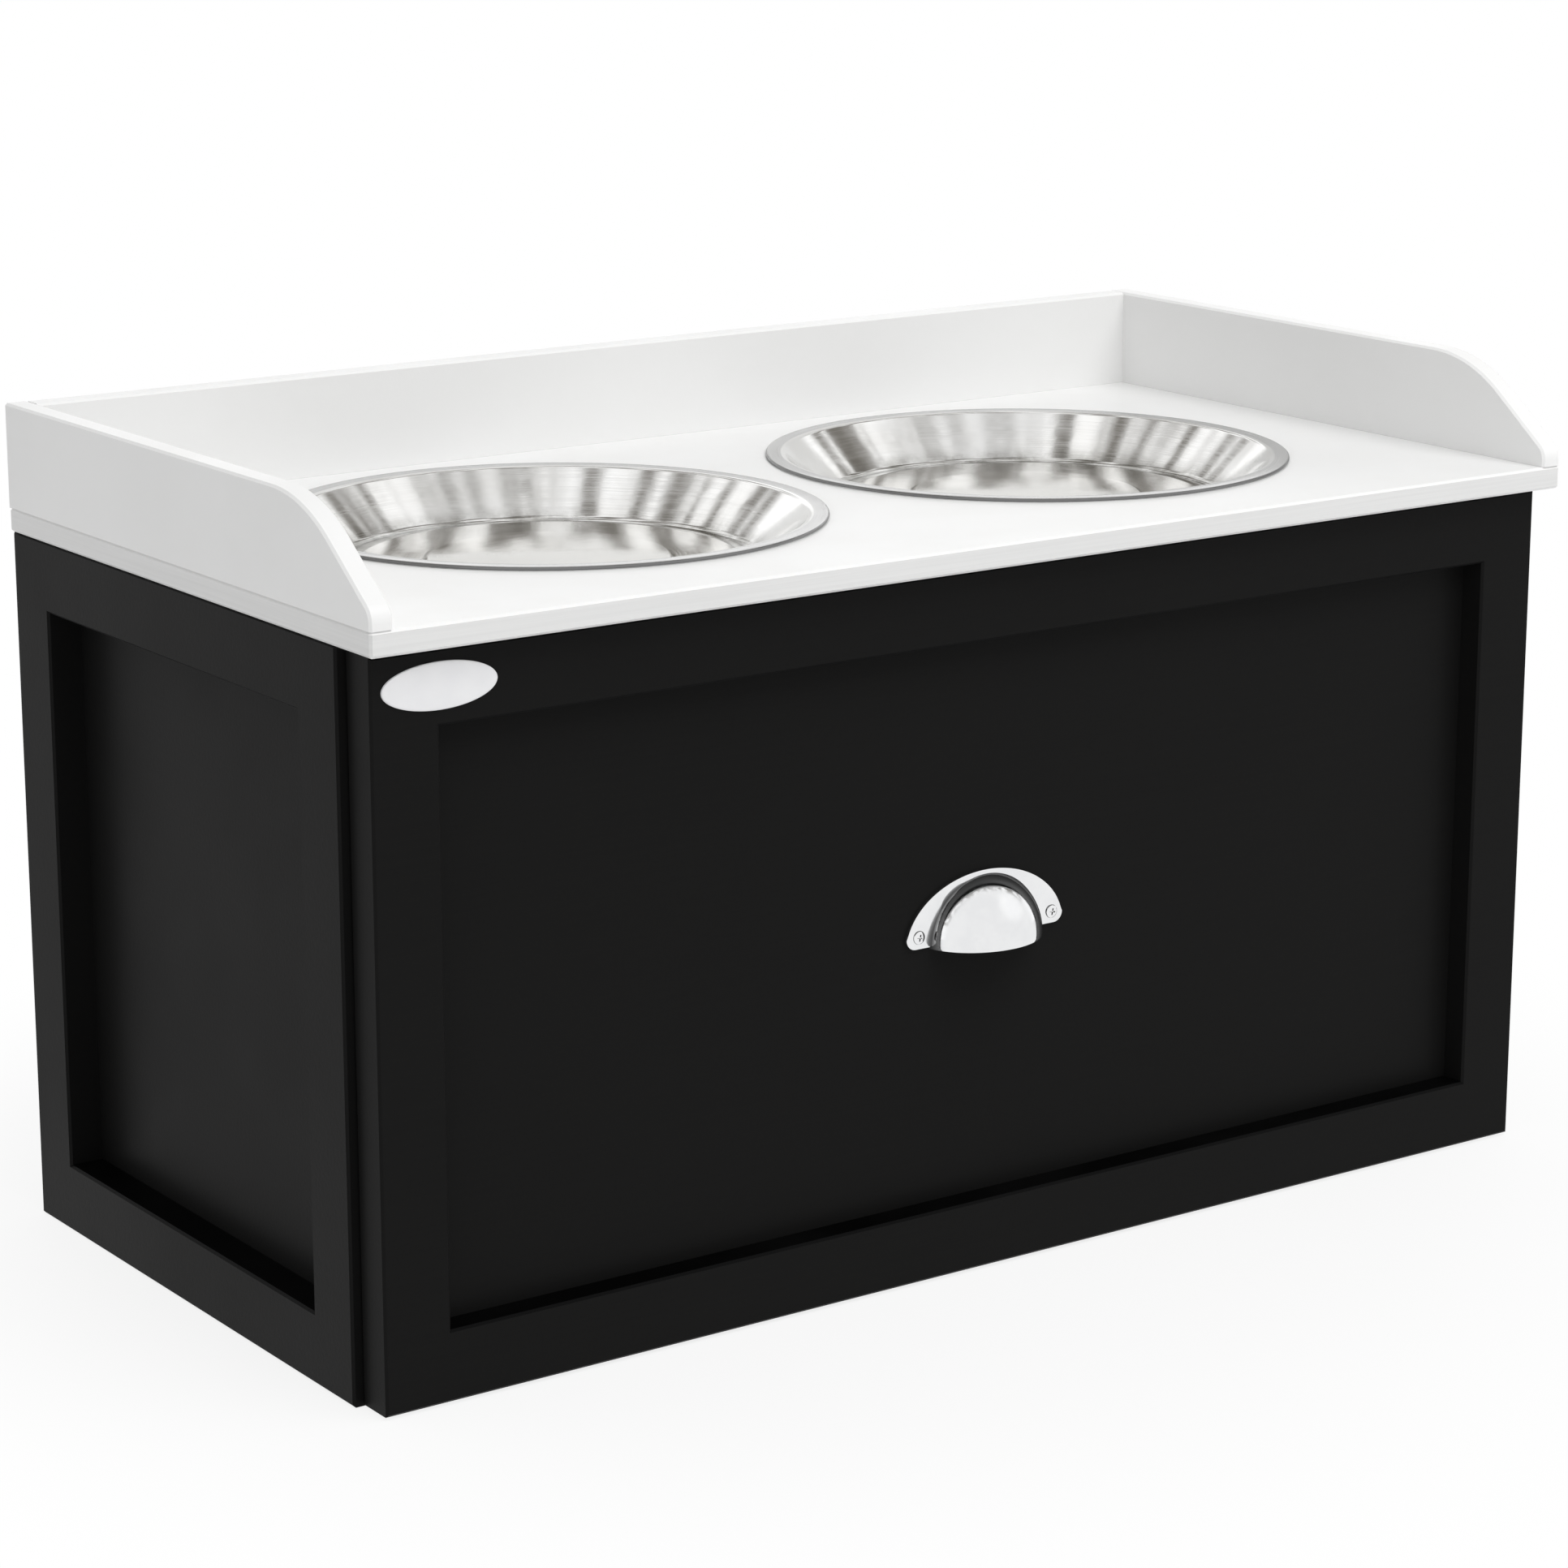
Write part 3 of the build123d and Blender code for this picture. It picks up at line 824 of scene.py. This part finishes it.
print("finishes:", white_lacquer.name, black_lacquer.name)

# %% [markdown]
# The boards inside are cheaper than the lacquered ones outside: fibreboard with a pressed
# melamine paper, matt and finely pored. Pores are the dark valleys of a stretched noise.

# %% Melamine
MELAMINE_DUST = (0.05, 0.048, 0.045)


def make_melamine(name, light, dark, pore, pore_stretch):
    material, tree, shader, places = new_finish(name, Specular_IOR_Level=0.16)
    place = stretched(tree, places["Object"], pore_stretch)
    grain = noise(tree, place, scale=1.0, detail=5.0, roughness=0.62)
    drift = noise(tree, places["Object"], scale=11.0)
    grey = use_group(tree, dust, places)["Mask"]
    body = blend_colours(tree, mapped(tree, drift, (0.3, 0.7)), light, dark)
    body = blend_colours(tree, mapped(tree, grain, (0.28, 0.42), (1.0, 0.0)), body, pore)
    body = blend_colours(tree, grey, body, MELAMINE_DUST)
    tree.links.new(body, shader.inputs["Base Color"])
    tree.links.new(mapped(tree, grain, (0.3, 0.7), (0.62, 0.48)), shader.inputs["Roughness"])
    bump(tree, shader, grain, 0.06 * MM)
    return material


inner_melamine = make_melamine(
    "inner_melamine",
    light=(0.0075, 0.0075, 0.0075),
    dark=(0.011, 0.011, 0.011),
    pore=(0.004, 0.004, 0.004),
    pore_stretch=(60.0, 500.0, 500.0))
drawer_melamine = make_melamine(
    "drawer_melamine",
    light=(0.010, 0.010, 0.010),
    dark=(0.014, 0.014, 0.0135),
    pore=(0.005, 0.005, 0.005),
    pore_stretch=(60.0, 60.0, 700.0))
print("finishes:", inner_melamine.name, drawer_melamine.name)

# %% [markdown]
# Polished steel is a mirror with very fine marks left by the wheel while the bowl turned
# under it. They run round the bowl, so reflections smear across them, up the wall and out
# over the floor. The marks come from a noise in the bowl's own round coordinates: quick along
# its section, slow around it. Both bowls share one finish, so the sideways distance is folded
# onto one bowl before the radius is worked out.
#
# Over the steel's own tint, zones of the radius get tints of their own: the floor a lighter one,
# the flat rim a middle grey and more roughness, each ledge of the floor and the outer lip a dark
# line of painted shade, and the tight cove the darkest painted reflection, broken by streaks.
# Each zone is a mask made from the radius.

# %% Round coordinates of a bowl
def bowl_coordinates(tree, place):
    """The radius, the angle and the height in a bowl, as sockets."""
    parts = split(tree, place)
    side = math_node(tree, "SUBTRACT", math_node(tree, "ABSOLUTE", parts["X"]), BOWL_ASIDE)
    ahead = math_node(tree, "SUBTRACT", parts["Y"], BOWL_BEHIND)
    squares = math_node(tree, "ADD", math_node(tree, "MULTIPLY", side, side),
                        math_node(tree, "MULTIPLY", ahead, ahead))
    angle = math_node(tree, "ARCTAN2", ahead, side)
    return math_node(tree, "SQRT", squares), angle, parts["Z"]


def ring_noise(tree, spot, across, around, detail):
    """A noise that changes at one rate along the section and at another around the bowl."""
    radius, angle, height = spot
    section = math_node(tree, "ADD", radius, height)
    ring = add_node(tree, "ShaderNodeCombineXYZ")
    feed(tree, ring.inputs["X"],
         math_node(tree, "MULTIPLY", math_node(tree, "COSINE", angle), around))
    feed(tree, ring.inputs["Y"],
         math_node(tree, "MULTIPLY", math_node(tree, "SINE", angle), around))
    feed(tree, ring.inputs["Z"], math_node(tree, "MULTIPLY", section, across))
    return noise(tree, ring.outputs[0], scale=1.0, detail=detail, roughness=0.6)


def zone(tree, radius, start, end, soft):
    """One between two radii in millimetres, with soft sides, and nothing elsewhere."""
    inside = mapped(tree, radius, ((start - soft) * MM, (start + soft) * MM))
    outside = mapped(tree, radius, ((end - soft) * MM, (end + soft) * MM), (1.0, 0.0))
    return math_node(tree, "MULTIPLY", inside, outside)


# %% The tint of polished steel
PAST_THE_BOWL = 130.0
STEEL_DARK = (0.76, 0.755, 0.74)
STEEL_LIGHT = (0.87, 0.87, 0.865)
FLOOR_TINT = (0.90, 0.89, 0.865)
# The cove, the floor's ledges and the outer lip are painted dark: painted reflection and shade.
COVE_PAINTED_REFLECTION = (0.27, 0.265, 0.24)
FLOOR_LEDGE_PAINTED_SHADE = (0.34, 0.335, 0.32)
RIM_TINT = (0.60, 0.60, 0.60)
LIP_PAINTED_SHADE = (0.20, 0.20, 0.20)


def steel_tint(tree, spot, sweep, rim):
    """The steel's own tint, then the lighter floor, the painted shade and reflection, the grey rim.
    """
    radius = spot[0]
    streaks = ring_noise(tree, spot, across=30.0, around=4.0, detail=5.0)
    floor = mapped(tree, radius, (77.0 * MM, 80.0 * MM), (0.8, 0.0))
    # The cove: a painted dark reflection, broken by streaks.
    cove = math_node(tree, "MULTIPLY", zone(tree, radius, 83.0, 92.0, 4.0),
                     mapped(tree, streaks, (0.34, 0.62), (0.80, 0.10)))
    # The floor's ledges: dark lines of painted shade.
    ledges = math_node(tree, "MAXIMUM", zone(tree, radius, 50.4, 52.0, 0.4),
                       zone(tree, radius, 79.8, 81.2, 0.4))
    # The outer lip: a dark line of painted shade.
    lip = zone(tree, radius, 115.6, PAST_THE_BOWL, 0.25)
    tint = blend_colours(tree, mapped(tree, sweep, (0.3, 0.7)), STEEL_DARK, STEEL_LIGHT)
    tint = blend_colours(tree, floor, tint, FLOOR_TINT)
    tint = blend_colours(tree, cove, tint, COVE_PAINTED_REFLECTION)
    tint = blend_colours(tree, math_node(tree, "MULTIPLY", ledges, 0.6), tint, FLOOR_LEDGE_PAINTED_SHADE)
    tint = blend_colours(tree, rim, tint, RIM_TINT)
    return blend_colours(tree, lip, tint, LIP_PAINTED_SHADE)


# %% Polished steel
def make_bowl_steel():
    material, tree, shader, places = new_finish("polished_steel", Metallic=1.0)
    spot = bowl_coordinates(tree, places["Object"])
    marks = ring_noise(tree, spot, across=1500.0, around=1.6, detail=3.0)
    sweep = noise(tree, places["Object"], scale=26.0, detail=3.0, roughness=0.55)
    rolled = noise(tree, places["Object"], scale=60.0)
    rim = zone(tree, spot[0], 109.6, PAST_THE_BOWL, 0.5)
    tree.links.new(steel_tint(tree, spot, sweep, rim), shader.inputs["Base Color"])
    rough = math_node(tree, "ADD", mapped(tree, marks, (0.2, 0.8), (0.05, 0.13)),
                      mapped(tree, sweep, (0.3, 0.7), (0.0, 0.05)))
    rough = math_node(tree, "ADD", rough, math_node(tree, "MULTIPLY", rim, 0.12))
    tree.links.new(rough, shader.inputs["Roughness"])
    relief = math_node(tree, "ADD", math_node(tree, "MULTIPLY", marks, 0.05),
                       math_node(tree, "MULTIPLY", rolled, 0.8))
    bump(tree, shader, relief, 0.1 * MM)
    return material


polished_steel = make_bowl_steel()
print("finish:", polished_steel.name)

# %% [markdown]
# Chrome plate is brighter and bluer than steel and almost without marks, but a casting under
# it is never a perfect mirror: the form waves a little and the film has faint wipe marks.
# Where chrome mirrors chrome, in the crease round the dome, the two pass the black front back
# and forth until little light is left. A path that is already a reflection therefore sees the
# plating in a near-black colour, a painted dark reflection that draws the crisp dark line round
# the dome. The zinc of the hidden screws and pins is made in the same way, with more marks and
# a lighter painted reflection.

# %% Chrome and zinc
def make_plated_metal(name, light, dark, painted_reflection_colour, sheen, wave_depth, mark_scale):
    material, tree, shader, places = new_finish(name, Metallic=1.0)
    film = noise(tree, places["Object"], scale=mark_scale, detail=4.0, roughness=0.6)
    waves = noise(tree, places["Object"], scale=120.0)
    marks = mapped(tree, film, (0.3, 0.7))
    body = blend_colours(tree, marks, light, dark)
    ray = add_node(tree, "ShaderNodeLightPath").outputs
    # Seen in a reflection, the metal takes the painted reflection colour, darker than its own.
    body = blend_colours(tree, ray["Is Glossy Ray"], body, painted_reflection_colour)
    tree.links.new(body, shader.inputs["Base Color"])
    tree.links.new(mapped(tree, marks, (0.0, 1.0), sheen), shader.inputs["Roughness"])
    bump(tree, shader, waves, wave_depth)
    return material


chrome = make_plated_metal(
    "chrome_plate",
    light=(0.84, 0.845, 0.85),
    dark=(0.80, 0.805, 0.815),
    # A painted dark reflection, where the chrome mirrors itself.
    painted_reflection_colour=(0.06, 0.06, 0.06),
    sheen=(0.07, 0.12),
    wave_depth=0.003 * MM,
    mark_scale=90.0)
zinc = make_plated_metal(
    "bright_zinc",
    light=(0.62, 0.63, 0.65),
    dark=(0.50, 0.50, 0.49),
    painted_reflection_colour=(0.40, 0.40, 0.40),
    sheen=(0.25, 0.42),
    wave_depth=0.03 * MM,
    mark_scale=300.0)
print("finishes:", chrome.name, zinc.name)

# %% [markdown]
# The rest is paint, plastic, enamel and bare wood. Each has a tint that drifts, a sheen that
# drifts with it and a fine relief, all from one noise: fine and even on the slides' epoxy coat,
# a little coarser on the moulded rollers, drawn out along the grain on the beech dowels, and
# almost flat under the clear top of the enamel.

# %% Epoxy, nylon, beech and enamel
def make_soft_finish(name, light, dark, sheen, grain_scale, depth, grain_stretch=(1.0, 1.0, 1.0),
                     **numbers):
    material, tree, shader, places = new_finish(name, **numbers)
    place = stretched(tree, places["Object"], grain_stretch)
    grain = noise(tree, place, scale=grain_scale, detail=4.0, roughness=0.58)
    tint = mapped(tree, grain, (0.3, 0.7))
    tree.links.new(blend_colours(tree, tint, light, dark), shader.inputs["Base Color"])
    tree.links.new(mapped(tree, grain, (0.3, 0.7), sheen), shader.inputs["Roughness"])
    bump(tree, shader, grain, depth)
    return material


epoxy = make_soft_finish(
    "epoxy_coat",
    light=(0.76, 0.75, 0.71),
    dark=(0.70, 0.69, 0.65),
    sheen=(0.28, 0.38),
    grain_scale=500.0,
    depth=0.05 * MM)
nylon = make_soft_finish(
    "moulded_nylon",
    light=(0.80, 0.79, 0.75),
    dark=(0.74, 0.72, 0.67),
    sheen=(0.36, 0.50),
    grain_scale=240.0,
    depth=0.04 * MM,
    Subsurface_Weight=0.1)
beech = make_soft_finish(
    "bare_beech",
    light=(0.58, 0.41, 0.25),
    dark=(0.46, 0.30, 0.17),
    sheen=(0.60, 0.75),
    grain_scale=60.0,
    depth=0.1 * MM,
    grain_stretch=(1.0, 12.0, 1.0))
enamel = make_soft_finish(
    "white_enamel",
    light=(0.86, 0.86, 0.87),
    dark=(0.83, 0.83, 0.845),
    sheen=(0.10, 0.18),
    grain_scale=70.0,
    depth=0.02 * MM,
    Coat_Weight=0.6,
    Coat_Roughness=0.05)
print("finishes:", epoxy.name, nylon.name, beech.name, enamel.name)

# %% [markdown]
# ## Dressing the solids
#
# Each solid carries the name of its finish in the record, so the finishes are handed out by
# that name. The new pieces take theirs directly.

# %% Hand out the finishes
FINISHES = {
    "white_board": white_lacquer, "black_board": black_lacquer, "inner_board": inner_melamine,
    "drawer_board": drawer_melamine, "dowel_wood": beech, "bowl_steel": polished_steel,
    "chrome": chrome, "slide_steel": epoxy, "nylon": nylon, "zinc": zinc,
}


def dress(piece, finish):
    if not piece.data.materials:
        piece.data.materials.append(finish)
    for number in range(len(piece.data.materials)):
        piece.data.materials[number] = finish


for part in frame["record"]["subparts"]:
    dress(frame["nodes"][part["node"]], FINISHES[part["material_slot"]])

# %% Every new piece rides on its body
def place_piece(piece, body, finish, replaced=None):
    dress(piece, finish)
    if replaced:
        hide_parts(replaced)
    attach(piece, body)


place_piece(left_bowl, "left_bowl", polished_steel, "left_bowl")
place_piece(right_bowl, "right_bowl", polished_steel, "right_bowl")
place_piece(cup_pull, "drawer", chrome, "cup_pull")
for screw in pull_screws:
    place_piece(screw, "drawer", chrome, "pull_screws")
for screw in front_screws + slide_screws:
    place_piece(screw, "drawer", zinc)
place_piece(oval_plate, "drawer", enamel)
new_pieces = [left_bowl, right_bowl, cup_pull, *pull_screws, *front_screws, *slide_screws,
              oval_plate]
print("new pieces:", len(new_pieces))

# %% [markdown]
# ## The floor
#
# The feeder stands on a pale floor that has no edge. Near the feeder the camera sees the floor
# mostly as plain white with a small share of it lit, so it keeps a faint soft shadow. Further
# out it turns wholly into the plain white that the world shows, so the two meet without a line.
# Metal sees the whole floor as plain white.

# %% A floor that fades into the white
FLOOR_RADIUS = 6.0
FLOOR_DROP = 0.4 * MM
FADE_FROM = 0.24
FADE_TO = 0.52
WHITE_NEARBY = 0.82


def make_floor():
    bpy.ops.object.select_all(action="DESELECT")
    bpy.ops.mesh.primitive_circle_add(vertices=96, radius=FLOOR_RADIUS, fill_type="NGON",
                                      location=(0, 0, -FLOOR_DROP))
    floor = bpy.context.object
    floor.name = "studio_floor"
    settle(floor)
    material, tree, shader, places = new_finish(
        "pale_floor", Base_Color=(0.90, 0.90, 0.90, 1.0), Roughness=0.6, Specular_IOR_Level=0.2)
    distance = add_node(tree, "ShaderNodeVectorMath", operation="LENGTH")
    tree.links.new(places["Object"], distance.inputs[0])
    away = mapped(tree, distance.outputs["Value"], (FADE_FROM, FADE_TO), (WHITE_NEARBY, 1.0))
    ray = add_node(tree, "ShaderNodeLightPath").outputs
    seen = math_node(tree, "MULTIPLY", away, ray["Is Camera Ray"])
    whiteness = math_node(tree, "MAXIMUM", seen, ray["Is Glossy Ray"])
    glow = add_node(tree, "ShaderNodeEmission").outputs[0]
    out = next(node for node in tree.nodes if node.type == "OUTPUT_MATERIAL")
    tree.links.new(mix_shaders(tree, whiteness, shader.outputs[0], glow), out.inputs["Surface"])
    dress(floor, material)
    return floor


print("floor:", make_floor().name)
